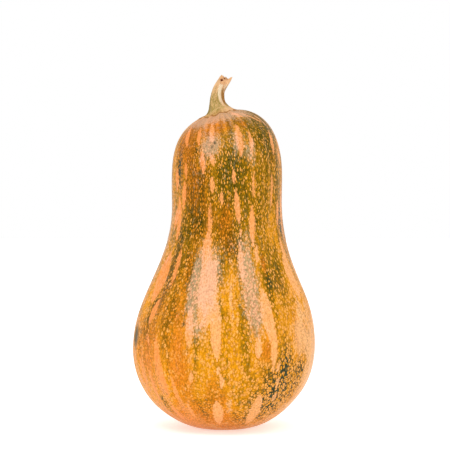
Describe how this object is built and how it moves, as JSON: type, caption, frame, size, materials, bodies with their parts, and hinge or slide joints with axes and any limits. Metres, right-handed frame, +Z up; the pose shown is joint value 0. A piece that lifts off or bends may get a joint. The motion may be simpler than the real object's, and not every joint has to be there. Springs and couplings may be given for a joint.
{
  "type": "butternut squash",
  "caption": "Whole butternut squash standing on its blossom end: round bulb, thick neck, domed crown and a dry curved stem torn off at the tip.",
  "frame": {"origin": "on the surface that the squash stands on, under the middle of its bounding box", "axes": "+Z up through the neck to the stem; the torn tip of the stem leans towards +X; -Y is the front"},
  "size_m": [0.1238, 0.1245, 0.2397],
  "materials": {
    "rind": "waxy rind, semi-matt, mottled orange, olive and cream",
    "dry_stem": "dry, matt, ridged"
  },
  "bodies": {
    "root": {"fruit": "rind", "stem": "dry_stem"}
  },
  "joints": []
}
